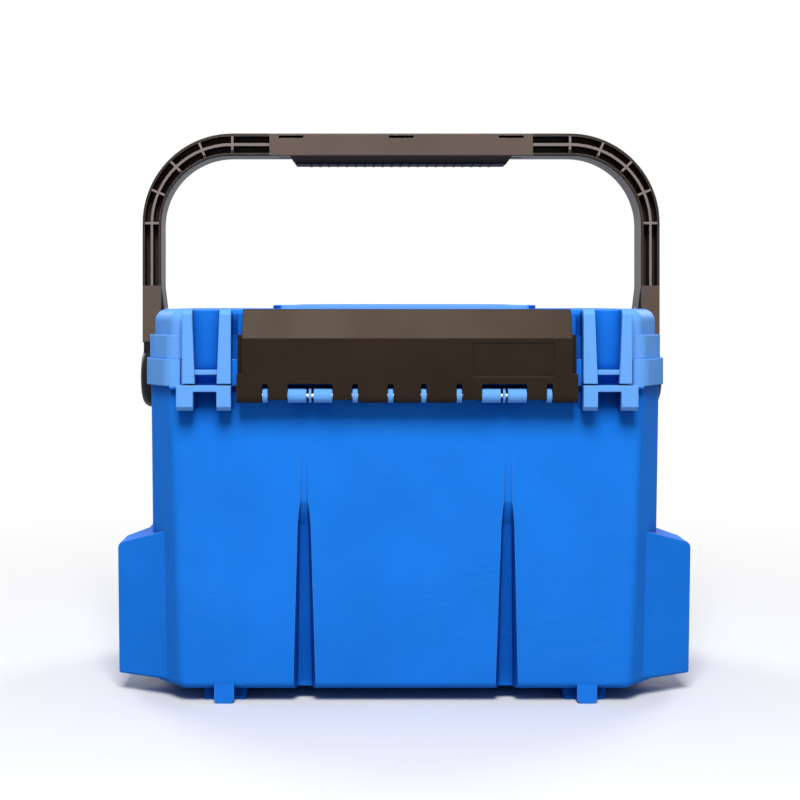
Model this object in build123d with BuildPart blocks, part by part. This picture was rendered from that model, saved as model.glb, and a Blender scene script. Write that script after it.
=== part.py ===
from build123d import *
import math
import os

os.makedirs("parts", exist_ok=True)

# Tackle box: a moulded tub with a rear-hinged lid, a front latch plate and a swing handle.
# Millimetres, +Z up, the front faces -Y, the origin is under the middle of the feet.

# Fits and cutting allowance
cut_overrun = 2.0
pin_clearance = 0.05
knuckle_clearance = 0.5
lid_clearance = 0.6

# Tub
tub_wall = 3.5
foot_height = 11.5
tub_height = 268.5
rim_half_width = 208.3
rim_half_depth = 149.1
rim_front_half_width = 189.0
floor_half_width = 208.0
floor_half_depth = 130.0
floor_front_half_width = 181.5
corner_depth = 32.0
tub_corner_round = 9.0
floor_round = 7.0

# Rim of the tub
rim_height = 21.4
rim_overhang = 3.4
rim_corner_round = 12.0
rim_slot_width = 2.8
lip_height = 5.0
lip_thickness = 3.5
ledge_height = 5.0
rim_tab_width = 9.0
rim_tab_drop = 2.5

# Recess in the rim's sides, where the handle's feet swing
hub_seat_rise = 0.7
side_recess_half_length = 86.0

# Pods low on the tub's sides
pod_projection = 29.7
pod_recess_depth = 18.0
pod_root_setback = 9.0
pod_outer_front = 90.0
pod_outer_back = 60.0
pod_recess_half_length = 51.0
pod_shoulder_height = 123.5
pod_edge_height = 114.0
pod_lift = 3.8
pod_round = 6.0
pod_base_round = 2.5

# Flutes in the tub's front and rear walls
flute_offset = 82.0
flute_floor_width = 19.6
flute_shoulder_width = 11.5
flute_top_width = 9.0
flute_back_share = 0.6
flute_depth = 13.0
flute_shoulder_depth = 7.5
flute_fade_depth = 1.0
flute_shoulder_height = 134.0
flute_fade_height = 153.5
flute_height = 199.5

# Feet
foot_inset = 34.3
foot_rib_width = 16.0
foot_rib_chamfer = 2.5
foot_pad_width = 35.5
foot_pad_length = 40.0
foot_pad_setback = 14.0
foot_pad_round = 4.0

# Lid
lid_wall = 3.0
lid_height = 40.0
skirt_height = 19.0
skirt_inset = 2.5
crown_inset = 4.2
lid_round = 10.0
panel_half_width = 109.0
panel_half_length = 110.0
panel_rise = 3.2
panel_corner_round = 12.0
panel_edge_round = 1.2

# Ears at the lid's front corners
ear_projection = 12.0
ear_gap = 4.6
ear_inner_rib = 11.2
ear_channel = 17.2
ear_outer_rib = 10.0
ear_rib_taper = 2.4
ear_drop = 19.0
ear_nose = 4.0
ear_floor_thickness = 3.0
ear_floor_drop = 8.0
crossbar_height = 4.0
crossbar_depth = 5.0

# Brackets on the tub under the ears
bracket_gap = 1.3
bracket_width = 43.2
bracket_inner_leg = 11.3
bracket_outer_leg = 13.3
bracket_bar = 5.0
bracket_leg_drop = 15.0
bracket_toe = 3.0

# Latch plate and its hinge
latch_standoff = 9.0
latch_drop = 28.3
knuckle_radius = 6.0
tub_knuckle_radius = 5.6
latch_pin_radius = 2.0
latch_pin_overhang = 4.0
plate_thickness = 3.2
latch_lean = 11.0
latch_crease_rise = 45.3
latch_half_width = 134.5
latch_crown_inset = 4.5
latch_wide_rise = 17.0
latch_window_rise = 9.5
latch_window_round = 2.0
latch_side_thickness = 3.0
latch_flange_width = 4.0
latch_flange_thickness = 3.0
latch_flange_rise = 48.0
latch_flange_setback = 7.0
latch_edge_round = 1.0
latch_pad_share = 0.62
latch_pad_width = 66.0
latch_pad_height = 27.0
latch_pad_rise = 28.5
latch_pad_round = 3.0
latch_pad_depth = 0.8
latch_trim_height = 1.2
hinge_rib_width = 4.0
inner_rib_share = 0.097
middle_rib_share = 0.305
block_share = 0.569
outer_rib_share = 0.833
block_width = 35.0
block_barrel = 14.6
block_ridge = 2.0

# Lid hinge at the rear
hinge_standoff = 9.0
hinge_offset = 110.0
hinge_pin_radius = 2.5
lid_knuckle_length = 34.0
tub_knuckle_length = 16.0
hinge_end_wall = 2.0

# Handle and its pivots
pivot_drop = 20.0
handle_rise = 215.0
handle_depth = 34.0
arm_thickness = 16.7
bar_thickness = 20.0
arch_corner_radius = 79.5
arch_edge_round = 1.2
arm_gap = 2.0
arm_solid_rise = 80.0
bar_half_width = 116.5
flange_share = 0.125
web_thickness = 4.0
cross_rib_thickness = 2.0
cross_rib_count = 5
grip_half_width = 98.0
grip_thickness = 7.0
grip_end_chamfer = 5.0
tab_offset = 97.5
tab_width = 22.0
tab_thickness = 8.0
tab_clearance = 0.2
tab_window_height = 2.2
tab_window_depth = 2.0
hub_radius = 28.0
hub_thickness = 20.0
hub_round = 8.0
neck_width = 31.0
neck_setback = 1.0
tongue_thickness = 2.4
tongue_width = 30.0
tongue_taper = 20.0
spigot_thickness = 10.0
spigot_width = 20.0
spigot_rise = 70.0
spigot_clearance = 0.2
washer_thickness = 0.8
trunnion_radius = 12.0
boss_radius = 19.5
boss_length = 6.0
retainer_radius = 18.0
retainer_thickness = 3.0
retainer_gap = 0.4
pivot_screw_radius = 2.5
pivot_screw_length = 18.0
pivot_head_radius = 5.0
pivot_head_height = 3.0
driver_slot_width = 1.2
driver_slot_depth = 1.2
hub_screw_radius = 1.6
hub_screw_length = 15.0
hub_screw_head_radius = 3.4
hub_screw_head_height = 2.0
hub_screw_rise = 42.0
hub_screw_spacing = 16.0

# Levels
floor_z = foot_height
rim_z = floor_z + tub_height
lid_top_z = rim_z + lid_height
pivot_z = rim_z - pivot_drop
latch_axis_z = rim_z - latch_drop
ear_low_z = rim_z - ear_drop
bracket_top_z = ear_low_z - bracket_gap
arch_top_z = pivot_z + handle_rise
arm_foot_z = pivot_z + hub_radius + arm_gap
arm_solid_z = pivot_z + arm_solid_rise
bar_low_z = arch_top_z - bar_thickness

# Margins from the tub's outline at its rim, outward positive
skirt_margin = rim_overhang - skirt_inset
crown_margin = skirt_margin - crown_inset
lip_margin = skirt_margin - lid_wall - lid_clearance
rim_front = rim_half_depth + rim_overhang
skirt_front = rim_half_depth + skirt_margin
crown_front = rim_half_depth + crown_margin
ear_reach = rim_front + ear_projection
latch_reach = rim_front + latch_standoff
hinge_reach = rim_front + hinge_standoff

# Stations across the tub
pod_half_width = rim_half_width + pod_projection
pod_recess_half_width = pod_half_width - pod_recess_depth
foot_offset = floor_front_half_width - foot_inset
ear_start = latch_half_width + ear_gap
ear_channel_start = ear_start + ear_inner_rib
ear_channel_end = ear_channel_start + ear_channel
ear_end = ear_channel_end + ear_outer_rib
latch_crown_half_width = latch_half_width - latch_crown_inset
latch_pad_center = latch_half_width * latch_pad_share
inner_rib_offset = latch_half_width * inner_rib_share
middle_rib_offset = latch_half_width * middle_rib_share
block_offset = latch_half_width * block_share
outer_rib_offset = latch_half_width * outer_rib_share
hinge_half = lid_knuckle_length / 2 + knuckle_clearance + tub_knuckle_length - hinge_end_wall
latch_pin_inner = inner_rib_offset - hinge_rib_width / 2 - latch_pin_overhang
latch_pin_outer = outer_rib_offset + hinge_rib_width / 2 + latch_pin_overhang

# Sideways stations of the handle's pivots
hub_seat = rim_half_width + hub_seat_rise
hub_face = hub_seat + washer_thickness
arm_inner = hub_face + tongue_thickness
arm_outer = arm_inner + arm_thickness
boss_end = rim_half_width - tub_wall - boss_length
retainer_face = boss_end - retainer_gap

# The latch plate's own section
latch_front = latch_reach + knuckle_radius
crease_z = latch_axis_z + latch_crease_rise
lean_angle = math.atan2(latch_lean, lid_top_z - crease_z)
plate_top_inner = latch_front - latch_lean - plate_thickness / math.cos(lean_angle)
latch_land = plate_top_inner - lid_clearance


def save(piece, label):
    """Label a finished piece and write it under its own name."""
    piece.label = label
    export_step(piece, f"parts/{label}.step")


def save_pair(piece, label):
    """Write a right-hand piece and its mirror image for the left."""
    save(mirror(piece, about=Plane.YZ), f"{label}_left")
    save(piece, f"{label}_right")


def tub_corners(level):
    """Corners of the tub's plan at a height, counted from the floor up to the rim."""
    share = (level - floor_z) / tub_height
    half_width = floor_half_width + (rim_half_width - floor_half_width) * share
    half_depth = tub_half_depth(level)
    front = floor_front_half_width + (rim_front_half_width - floor_front_half_width) * share
    side = half_depth - corner_depth
    right = [(front, -half_depth), (half_width, -side), (half_width, side), (front, half_depth)]
    left = [(-x, y) for x, y in reversed(right)]
    return right + left


def tub_half_depth(level):
    """Half the tub's depth at a height."""
    share = (level - floor_z) / tub_height
    return floor_half_depth + (rim_half_depth - floor_half_depth) * share


def tub_outline(level, inset):
    """Face with the tub's plan at a height, drawn in by an inset."""
    with BuildSketch(Plane.XY.offset(level)) as outline:
        Polygon(*tub_corners(level), align=None)
        if inset:
            offset(amount=-inset, kind=Kind.INTERSECTION)
    return outline.sketch.face()


def rim_outline(level, margin):
    """Round-cornered face with the rim's plan, grown by a margin, placed at a height."""
    with BuildSketch(Plane.XY.offset(level)) as outline:
        Polygon(*tub_corners(rim_z), align=None)
        offset(amount=margin, kind=Kind.INTERSECTION)
        fillet(outline.vertices(), rim_corner_round + margin)
    return outline.sketch.face()


def slab(x_span, y_span, z_span, mode=Mode.ADD):
    """Box between two places along each axis."""
    middle = [(low + high) / 2 for low, high in (x_span, y_span, z_span)]
    sizes = [abs(high - low) for low, high in (x_span, y_span, z_span)]
    with Locations(tuple(middle)):
        Box(*sizes, mode=mode)


def rod(start, end, depth, level, radius, mode=Mode.ADD):
    """Round bar along X between two places, at a depth along Y and a height."""
    with BuildSketch(Plane.YZ.offset(start)) as section:
        with Locations((depth, level)):
            Circle(radius)
    extrude(section.sketch, amount=end - start, mode=mode)


def profile_bar(start, end, points):
    """Bar along X with an outline given as depths along Y and heights."""
    with BuildSketch(Plane.YZ.offset(start)) as section:
        Polygon(*points, align=None)
    extrude(section.sketch, amount=end - start)


def pod_plan(level, inset):
    """Face with the right-hand pod's plan at a height, leaning with the tub, drawn in by an inset."""
    lean = tub_half_depth(level) - floor_half_depth
    root = tub_corners(level)[0][0]
    root_depth = tub_half_depth(level) - pod_root_setback
    with BuildSketch(Plane.XY.offset(level)) as plan:
        Polygon(
            (root, -root_depth),
            (pod_half_width, -pod_outer_front - lean),
            (pod_half_width, -pod_outer_back),
            (pod_recess_half_width, -pod_recess_half_length),
            (pod_recess_half_width, pod_outer_front + lean),
            (root, root_depth),
            align=None,
        )
        if inset:
            offset(amount=-inset, kind=Kind.INTERSECTION)
    return plan.sketch.face()


def pod_pair(inset, low):
    """Both side pods, drawn in by an inset, from a low level to their sloped tops."""
    rise = pod_shoulder_height - pod_edge_height
    run = pod_projection
    slope = Plane(
        origin=(pod_half_width, 0, floor_z + pod_edge_height - inset),
        z_dir=(rise, 0, run),
    )
    with BuildPart() as pods:
        high = floor_z + pod_shoulder_height + rise + tub_wall
        loft([pod_plan(low, inset), pod_plan(high, inset)], ruled=True)
        split(bisect_by=slope, keep=Keep.BOTTOM)
        if not inset:
            outer = pods.edges().filter_by(lambda edge: edge.center().X > pod_recess_half_width - pod_round)
            top = outer.filter_by(lambda edge: edge.center().Z > floor_z + pod_edge_height - pod_round)
            fillet(top, pod_round)
            base = pods.faces().sort_by(Axis.Z)[0].edges()
            lower = base.filter_by(lambda edge: edge.center().X > floor_front_half_width + pod_round)
            fillet(lower, pod_base_round)
        mirror(about=Plane.YZ)
    return pods.part


def flutes(grow):
    """Tapering flutes of the front and rear walls, each side of the middle, grown by a wall."""
    levels = (
        (floor_z - cut_overrun, flute_floor_width, flute_depth),
        (floor_z + flute_shoulder_height, flute_shoulder_width, flute_shoulder_depth),
        (floor_z + flute_fade_height, flute_top_width, flute_fade_depth),
        (floor_z + flute_height, flute_top_width, 0),
    )
    with BuildPart() as cutters:
        for level, width, depth in levels:
            face = tub_half_depth(level)
            front_half = width / 2 + grow
            back_half = width * flute_back_share / 2 + grow
            with BuildSketch(Plane.XY.offset(level)):
                Polygon(
                    (flute_offset - front_half, -face - cut_overrun),
                    (flute_offset + front_half, -face - cut_overrun),
                    (flute_offset + back_half, -face + depth + grow),
                    (flute_offset - back_half, -face + depth + grow),
                    align=None,
                )
        loft(ruled=True)
        mirror(about=Plane.YZ)
        mirror(about=Plane.XZ)
    return cutters.part


def tub_form(inset, low, high):
    """Solid of the tub's outside, or of its inside when drawn in by the wall."""
    with BuildPart() as form:
        loft([tub_outline(low, inset), tub_outline(high, inset)])
        uprights = form.edges().filter_by(lambda edge: abs(edge.tangent_at(0).Z) > 1 / 2)
        fillet(uprights, tub_corner_round - inset)
        fillet(form.faces().sort_by(Axis.Z)[0].edges(), floor_round - inset)
        add(pod_pair(inset, low + pod_lift))
        add(flutes(inset), mode=Mode.SUBTRACT)
    return form.part


def lid_form(inset, low):
    """Solid of the lid's outside, or of its inside when drawn in by the wall."""
    skirt_top = rim_z + skirt_height - inset
    crown_top = lid_top_z - inset
    with BuildPart() as form:
        extrude(rim_outline(low, skirt_margin - inset), amount=skirt_top - low)
        extrude(rim_outline(low, crown_margin - inset), amount=crown_top - low)
        fillet(form.faces().sort_by(Axis.Z)[-1].edges(), lid_round - inset)
        panel = Plane.XY.offset(crown_top - lid_wall)
        with BuildSketch(panel):
            RectangleRounded(
                2 * (panel_half_width - inset),
                2 * (panel_half_length - inset),
                panel_corner_round - inset,
            )
        extrude(amount=panel_rise + lid_wall)
    return form.part


def latch_stations():
    """Both ends along X of every place where the tub's latch knuckles stand."""
    for side in (-1, 1):
        for middle in (inner_rib_offset, middle_rib_offset, outer_rib_offset):
            yield side * middle - hinge_rib_width / 2, side * middle + hinge_rib_width / 2
        yield side * block_offset - block_width / 2, side * block_offset + block_width / 2


def tub_latch_knuckle(start, end):
    """One tub knuckle of the latch hinge, with its arm back to the wall."""
    low = latch_axis_z - tub_knuckle_radius
    high = latch_axis_z + tub_knuckle_radius
    root = tub_half_depth(low) - tub_wall / 2
    slab((start, end), (-latch_reach, -root), (low, high))
    rod(start, end, -latch_reach, latch_axis_z, tub_knuckle_radius)


def ear_section(front, low):
    """Outline of an ear's rib or floor: it hangs in front of the rim from the lid's front."""
    back = rim_front + lid_clearance
    return [
        (-front, low),
        (-front, lid_top_z - ear_nose),
        (-front + ear_nose, lid_top_z),
        (-crown_front + lid_wall / 2, lid_top_z - lid_wall),
        (-crown_front + lid_wall / 2, rim_z + skirt_height),
        (-skirt_front + lid_wall / 2, rim_z + skirt_height),
        (-skirt_front + lid_wall / 2, rim_z),
        (-back, rim_z),
        (-back, low),
    ]


# Tub, with its rim, pods, feet, brackets and hinge knuckles
with BuildPart() as body_shell:
    add(tub_form(0, floor_z, rim_z))

    # Rim, with a tab under it at each front corner
    extrude(rim_outline(rim_z - rim_height, rim_overhang), amount=rim_height)
    for side in (-1, 1):
        tab_x = side * (rim_front_half_width - rim_tab_width / 2)
        slab(
            (tab_x - rim_tab_width / 2, tab_x + rim_tab_width / 2),
            (-rim_front, -rim_half_depth + tub_wall / 2),
            (rim_z - rim_height - rim_tab_drop, rim_z - rim_height),
        )
        slab(
            (side * (ear_end - ear_outer_rib), side * (ear_end + rim_slot_width)),
            (-rim_front - cut_overrun, -rim_half_depth),
            (rim_z - rim_height - cut_overrun, rim_z + cut_overrun),
            Mode.SUBTRACT,
        )
        slab(
            (side * hub_seat, side * (arm_inner + cut_overrun)),
            (-side_recess_half_length, side_recess_half_length),
            (rim_z - rim_height - cut_overrun, rim_z + cut_overrun),
            Mode.SUBTRACT,
        )

    # Bosses for the handle's pivots
    for side in (-1, 1):
        rod(side * boss_end, side * hub_seat, 0, pivot_z, boss_radius)

    # Feet: a wide pad with a narrow rib in front of it, flush with the wall
    for side in (-1, 1):
        for end in (-1, 1):
            foot_x = side * foot_offset
            pad_start = floor_half_depth - foot_pad_setback
            pad_middle = end * (pad_start - foot_pad_length / 2)
            with BuildSketch(Plane.XY):
                with Locations((foot_x, pad_middle)):
                    RectangleRounded(foot_pad_width, foot_pad_length, foot_pad_round)
            extrude(amount=foot_height + tub_wall / 2)
            rib_half = foot_rib_width / 2
            with BuildSketch(Plane.XZ.offset(-pad_middle)):
                with Locations((foot_x, 0)):
                    Polygon(
                        (-rib_half, floor_z + floor_round),
                        (-rib_half, foot_rib_chamfer),
                        (-rib_half + foot_rib_chamfer, 0),
                        (rib_half - foot_rib_chamfer, 0),
                        (rib_half, foot_rib_chamfer),
                        (rib_half, floor_z + floor_round),
                        align=None,
                    )
            extrude(amount=pad_middle - end * floor_half_depth)

    # Brackets under the lid's ears
    bracket_bar_z = bracket_top_z - bracket_bar
    leg_low_z = bracket_bar_z - bracket_leg_drop
    bracket_root = tub_half_depth(leg_low_z) - tub_wall / 2
    leg_section = [
        (-ear_reach, bracket_top_z),
        (-ear_reach, leg_low_z + bracket_toe),
        (-ear_reach + bracket_toe, leg_low_z),
        (-bracket_root, leg_low_z),
        (-bracket_root, bracket_top_z),
    ]
    for side in (-1, 1):
        bracket_end = ear_start + bracket_width
        slab(
            (side * ear_start, side * bracket_end),
            (-ear_reach, -bracket_root),
            (bracket_bar_z, bracket_top_z),
        )
        profile_bar(side * ear_start, side * (ear_start + bracket_inner_leg), leg_section)
        profile_bar(side * (bracket_end - bracket_outer_leg), side * bracket_end, leg_section)

    # Latch knuckles: narrow ribs, and blocks of two barrels with a ridge between
    for low_end, high_end in latch_stations():
        if high_end - low_end > hinge_rib_width + block_ridge:
            middle = (low_end + high_end) / 2
            tub_latch_knuckle(low_end, low_end + block_barrel)
            tub_latch_knuckle(middle - block_ridge / 2, middle + block_ridge / 2)
            tub_latch_knuckle(high_end - block_barrel, high_end)
        else:
            tub_latch_knuckle(low_end, high_end)

    # Lid hinge knuckles at the rear, a pair at each hinge
    for side in (-1, 1):
        for end in (-1, 1):
            inner_end = side * hinge_offset + end * (lid_knuckle_length / 2 + knuckle_clearance)
            outer_end = inner_end + end * tub_knuckle_length
            slab(
                (inner_end, outer_end),
                (rim_half_depth, hinge_reach),
                (rim_z - knuckle_radius, rim_z),
            )
            rod(inner_end, outer_end, hinge_reach, rim_z, knuckle_radius)

    # The hollow, open at the top
    add(tub_form(tub_wall, floor_z + tub_wall, rim_z + cut_overrun), mode=Mode.SUBTRACT)

    # Ledge and lip that locate the lid
    ledge_inner = lip_margin - lip_thickness
    ledge_low = rim_z - ledge_height
    extrude(rim_outline(ledge_low, -tub_wall / 2), amount=ledge_height)
    extrude(rim_outline(rim_z, lip_margin), amount=lip_height)
    extrude(
        rim_outline(ledge_low - cut_overrun, ledge_inner),
        amount=ledge_height + lip_height + 2 * cut_overrun,
        mode=Mode.SUBTRACT,
    )
    for side in (-1, 1):
        rod(side * boss_end, side * (rim_half_width - tub_wall / 2), 0, pivot_z, boss_radius)

    # Bores for the pivots and the hinge pins
    for side in (-1, 1):
        rod(
            side * (boss_end - cut_overrun),
            side * (hub_seat + cut_overrun),
            0,
            pivot_z,
            trunnion_radius + pin_clearance,
            Mode.SUBTRACT,
        )
        rod(
            side * (latch_pin_inner - pin_clearance),
            side * (latch_pin_outer + pin_clearance),
            -latch_reach,
            latch_axis_z,
            latch_pin_radius + pin_clearance,
            Mode.SUBTRACT,
        )
        rod(
            side * hinge_offset - hinge_half,
            side * hinge_offset + hinge_half,
            hinge_reach,
            rim_z,
            hinge_pin_radius + pin_clearance,
            Mode.SUBTRACT,
        )

save(body_shell.part, "body_shell")

# Lid, with its ears, latch land and hinge knuckles
with BuildPart() as lid_shell:
    add(lid_form(0, rim_z))
    fillet(lid_shell.faces().sort_by(Axis.Z)[-1].edges(), panel_edge_round)
    add(lid_form(lid_wall, rim_z - cut_overrun), mode=Mode.SUBTRACT)

    # Land behind the latch plate's top edge
    slab(
        (-latch_half_width, latch_half_width),
        (-latch_land, -crown_front + lid_wall / 2),
        (rim_z + skirt_height - lid_wall, lid_top_z - lid_wall),
    )

    # Ears: a channel between two ribs that taper upward, with a crossbar at its foot
    ear_floor = rim_front + lid_clearance + ear_floor_thickness
    crossbar_high = rim_z - ear_floor_drop
    for side in (-1, 1):
        profile_bar(side * ear_start, side * ear_end, ear_section(ear_reach, ear_low_z))
        with BuildSketch(Plane.XZ.offset(ear_reach + cut_overrun)):
            Polygon(
                (side * ear_channel_start, ear_low_z - cut_overrun),
                (side * ear_channel_end, ear_low_z - cut_overrun),
                (side * (ear_channel_end + ear_rib_taper), lid_top_z + cut_overrun),
                (side * (ear_channel_start - ear_rib_taper), lid_top_z + cut_overrun),
                align=None,
            )
        extrude(amount=ear_floor - ear_reach - cut_overrun, mode=Mode.SUBTRACT)
        slab(
            (side * ear_channel_start, side * ear_channel_end),
            (-ear_reach, -rim_front),
            (ear_low_z - cut_overrun, crossbar_high),
            Mode.SUBTRACT,
        )
        slab(
            (side * (ear_channel_start - ear_rib_taper), side * (ear_channel_end + ear_rib_taper)),
            (-ear_floor - crossbar_depth, -ear_floor + ear_floor_thickness),
            (crossbar_high - crossbar_height, crossbar_high),
        )

    # Hinge knuckles at the rear
    for side in (-1, 1):
        knuckle_low = side * hinge_offset - lid_knuckle_length / 2
        knuckle_high = side * hinge_offset + lid_knuckle_length / 2
        slab(
            (knuckle_low, knuckle_high),
            (skirt_front - lid_wall / 2, hinge_reach),
            (rim_z, rim_z + knuckle_radius),
        )
        rod(knuckle_low, knuckle_high, hinge_reach, rim_z, knuckle_radius)
        rod(
            knuckle_low - cut_overrun,
            knuckle_high + cut_overrun,
            hinge_reach,
            rim_z,
            hinge_pin_radius + pin_clearance,
            Mode.SUBTRACT,
        )

save(lid_shell.part, "lid_shell")

# Latch plate: a creased plate rolled into a hinge barrel along its lower edge
plate_section = [
    (-latch_front, latch_axis_z),
    (-latch_front, crease_z),
    (-latch_front + latch_lean, lid_top_z),
    (-plate_top_inner, lid_top_z),
    (-latch_front + plate_thickness, crease_z - plate_thickness * math.tan(lean_angle / 2)),
    (-latch_front + plate_thickness, latch_axis_z),
]
side_section = [
    (-latch_front + plate_thickness / 2, latch_axis_z + latch_wide_rise),
    (-latch_front + plate_thickness / 2, crease_z),
    (-plate_top_inner - plate_thickness / 2, lid_top_z - plate_thickness),
    (-plate_top_inner, lid_top_z - plate_thickness),
    (-plate_top_inner, latch_axis_z + latch_wide_rise),
]
with BuildPart() as latch_plate:
    profile_bar(-latch_crown_half_width, latch_crown_half_width, plate_section)
    crown_edges = latch_plate.edges().filter_by(Axis.X).group_by(Axis.Z)[-1]
    fillet(crown_edges, latch_edge_round)
    slab(
        (-latch_half_width, latch_half_width),
        (-latch_front, -latch_front + plate_thickness),
        (latch_axis_z, latch_axis_z + latch_wide_rise),
    )
    rod(-latch_half_width, latch_half_width, -latch_reach, latch_axis_z, knuckle_radius)
    for side in (-1, 1):
        side_end = side * latch_crown_half_width
        profile_bar(side_end - side * latch_side_thickness, side_end, side_section)
        flange_front = latch_front - latch_flange_setback
        slab(
            (side_end - side * latch_side_thickness, side_end + side * latch_flange_width),
            (-flange_front, -flange_front + latch_flange_thickness),
            (latch_axis_z + latch_wide_rise, latch_axis_z + latch_flange_rise),
        )
        slab(
            (side_end - side * latch_side_thickness, side * latch_half_width),
            (-latch_front + plate_thickness / 2, -flange_front + latch_flange_thickness),
            (latch_axis_z + latch_wide_rise - plate_thickness, latch_axis_z + latch_wide_rise),
        )

    # Windows round the tub's knuckles
    for low_end, high_end in latch_stations():
        window_low = latch_axis_z - knuckle_radius - cut_overrun
        window_high = latch_axis_z + latch_window_rise
        with BuildSketch(Plane.XZ.offset(latch_front + cut_overrun)) as window:
            with Locations(((low_end + high_end) / 2, (window_low + window_high) / 2)):
                Rectangle(high_end - low_end + 2 * knuckle_clearance, window_high - window_low)
            fillet(window.vertices().group_by(Axis.Y)[-1], latch_window_round)
        extrude(amount=-2 * knuckle_radius - 2 * cut_overrun, mode=Mode.SUBTRACT)

    # Barrels beside the blocks are trimmed shorter below the pin
    for side in (-1, 1):
        trim_low = latch_axis_z - knuckle_radius - cut_overrun
        trim_high = latch_axis_z - latch_pin_radius - latch_trim_height
        slab(
            (side * (middle_rib_offset + hinge_rib_width / 2), side * (outer_rib_offset - hinge_rib_width / 2)),
            (-latch_front - cut_overrun, -latch_reach + knuckle_radius + cut_overrun),
            (trim_low, trim_high),
            Mode.SUBTRACT,
        )

    # Plain recessed pad
    pad_z = latch_axis_z + latch_pad_rise
    with BuildSketch(Plane.XZ.offset(latch_front)):
        with Locations((latch_pad_center, pad_z)):
            RectangleRounded(latch_pad_width, latch_pad_height, latch_pad_round)
    extrude(amount=-latch_pad_depth, mode=Mode.SUBTRACT)

    for side in (-1, 1):
        rod(
            side * (latch_pin_inner - pin_clearance),
            side * (latch_pin_outer + pin_clearance),
            -latch_reach,
            latch_axis_z,
            latch_pin_radius + pin_clearance,
            Mode.SUBTRACT,
        )

save(latch_plate.part, "latch_plate")

# Latch pins
with BuildPart() as latch_pin:
    rod(latch_pin_inner, latch_pin_outer, -latch_reach, latch_axis_z, latch_pin_radius)

save_pair(latch_pin.part, "latch_pin")

# Lid hinge pins
with BuildPart() as lid_hinge_pin:
    rod(
        hinge_offset - hinge_half + pin_clearance,
        hinge_offset + hinge_half - pin_clearance,
        hinge_reach,
        rim_z,
        hinge_pin_radius,
    )

save_pair(lid_hinge_pin.part, "lid_hinge_pin")


def arch_area(share, mode=Mode.ADD):
    """Area under a line that lies a share of the handle's thickness in from its outside."""
    half = arm_outer - share * arm_thickness
    high = arch_top_z - share * bar_thickness
    with BuildLine() as outline:
        FilletPolyline(
            (-half, arm_foot_z),
            (-half, high),
            (half, high),
            (half, arm_foot_z),
            radius=arch_corner_radius - share * (arm_thickness + bar_thickness) / 2,
        )
        Line((half, arm_foot_z), (-half, arm_foot_z))
    make_face(outline.edges(), mode=mode)


# Handle: one arch, ribbed on its legs and corners, solid at the bar and at the feet
pocket_share = (1 - 3 * flange_share) / 2
pocket_depth = (handle_depth - web_thickness) / 2
corner_x = arm_outer - arch_corner_radius
corner_z = arch_top_z - arch_corner_radius
rib_radius = arch_corner_radius - arm_thickness / 2
spigot_start = arm_inner + (arm_thickness - spigot_thickness) / 2
spigot_end = spigot_start + spigot_thickness
spigot_top_z = pivot_z + spigot_rise
low_screw_z = pivot_z + hub_screw_rise
screw_levels = (low_screw_z, low_screw_z + hub_screw_spacing)

with BuildPart() as handle_arch:
    with BuildSketch(Plane.XZ):
        arch_area(0)
        arch_area(1, Mode.SUBTRACT)
    extrude(amount=handle_depth / 2, both=True)
    fillet(handle_arch.faces().filter_by(Axis.Y).edges(), arch_edge_round)

    # Two rows of pockets on the front and the rear, with cross ribs left at the corners
    for face in (-1, 1):
        for share in (flange_share, 2 * flange_share + pocket_share):
            with BuildSketch(Plane.XZ.offset(face * handle_depth / 2)):
                arch_area(share)
                arch_area(share + pocket_share, Mode.SUBTRACT)
                with Locations((0, (arm_foot_z + arch_top_z) / 2)):
                    Rectangle(2 * bar_half_width, arch_top_z - arm_foot_z, mode=Mode.SUBTRACT)
                with Locations((0, (arm_foot_z + arm_solid_z) / 2)):
                    Rectangle(2 * arm_outer, arm_solid_z - arm_foot_z, mode=Mode.SUBTRACT)
                for side in (-1, 1):
                    for index in range(cross_rib_count):
                        angle = 90 * index / (cross_rib_count - 1)
                        rib_x = corner_x + rib_radius * math.cos(math.radians(angle))
                        rib_z = corner_z + rib_radius * math.sin(math.radians(angle))
                        with Locations(Location((side * rib_x, rib_z, 0), (0, 0, side * angle))):
                            Rectangle(2 * bar_thickness, cross_rib_thickness, mode=Mode.SUBTRACT)
            extrude(amount=-face * pocket_depth, mode=Mode.SUBTRACT)

    # Slots for the grip's snap tabs, each with a window near the bar's top
    for tab_x in (-tab_offset, 0, tab_offset):
        window_high = arch_top_z - tab_window_depth
        slab(
            (tab_x - tab_width / 2 - tab_clearance, tab_x + tab_width / 2 + tab_clearance),
            (-tab_thickness / 2 - tab_clearance, tab_thickness / 2 + tab_clearance),
            (bar_low_z - cut_overrun, window_high),
            Mode.SUBTRACT,
        )
        slab(
            (tab_x - tab_width / 2, tab_x + tab_width / 2),
            (-handle_depth / 2 - cut_overrun, handle_depth / 2 + cut_overrun),
            (window_high - tab_window_height, window_high),
            Mode.SUBTRACT,
        )

    # Sockets for the hubs' spigots, and the screw holes into them
    for side in (-1, 1):
        slab(
            (side * (spigot_start - spigot_clearance), side * (spigot_end + spigot_clearance)),
            (-spigot_width / 2 - spigot_clearance, spigot_width / 2 + spigot_clearance),
            (arm_foot_z - cut_overrun, spigot_top_z + spigot_clearance),
            Mode.SUBTRACT,
        )
        for level in screw_levels:
            rod(
                side * (arm_inner - cut_overrun),
                side * spigot_end,
                0,
                level,
                hub_screw_radius + pin_clearance,
                Mode.SUBTRACT,
            )

save(handle_arch.part, "handle_arch")

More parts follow.
